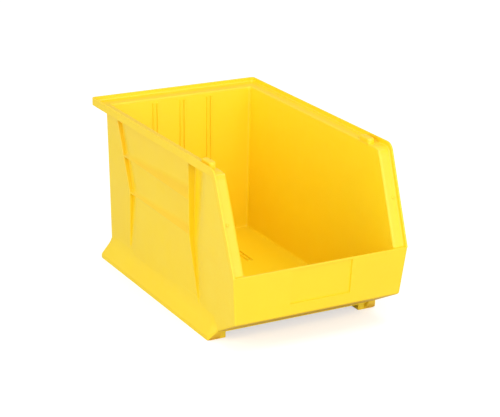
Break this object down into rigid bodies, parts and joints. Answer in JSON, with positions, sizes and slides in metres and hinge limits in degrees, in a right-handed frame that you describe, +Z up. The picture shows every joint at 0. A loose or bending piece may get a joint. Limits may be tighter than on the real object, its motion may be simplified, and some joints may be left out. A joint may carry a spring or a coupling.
{
  "type": "stackable storage bin",
  "caption": "Stackable hopper-front storage bin with ribbed recessed sides, stepped stacking rim, flared base and a rear hanging lip.",
  "frame": {"origin": "centre of the footprint on the ground plane, under the middle of the overall box", "axes": "-Y is the open hopper front, +Y the rear hanging lip, +X the right-hand side seen from behind the front, +Z up"},
  "size_m": [0.2794, 0.4572, 0.254],
  "materials": {
    "bin_plastic": "satin injection-moulded polypropylene, yellow through its thickness"
  },
  "bodies": {
    "root": {"back_divider_ribs": "bin_plastic", "back_skirt": "bin_plastic", "back_wall": "bin_plastic", "floor_divider_ribs": "bin_plastic", "floor_panel": "bin_plastic", "front_chin": "bin_plastic", "front_wall": "bin_plastic", "hang_lip": "bin_plastic", "left_base_skirt": "bin_plastic", "left_flange_detent": "bin_plastic", "left_foot": "bin_plastic", "left_front_flange": "bin_plastic", "left_front_post": "bin_plastic", "left_lower_tier": "bin_plastic", "left_rear_post": "bin_plastic", "left_side_fin": "bin_plastic", "left_side_ribs": "bin_plastic", "left_side_rim": "bin_plastic", "left_side_wall": "bin_plastic", "left_stop_lug": "bin_plastic", "right_base_skirt": "bin_plastic", "right_flange_detent": "bin_plastic", "right_foot": "bin_plastic", "right_front_flange": "bin_plastic", "right_front_post": "bin_plastic", "right_lower_tier": "bin_plastic", "right_rear_post": "bin_plastic", "right_side_fin": "bin_plastic", "right_side_ribs": "bin_plastic", "right_side_rim": "bin_plastic", "right_side_wall": "bin_plastic", "right_stop_lug": "bin_plastic"}
  },
  "joints": []
}
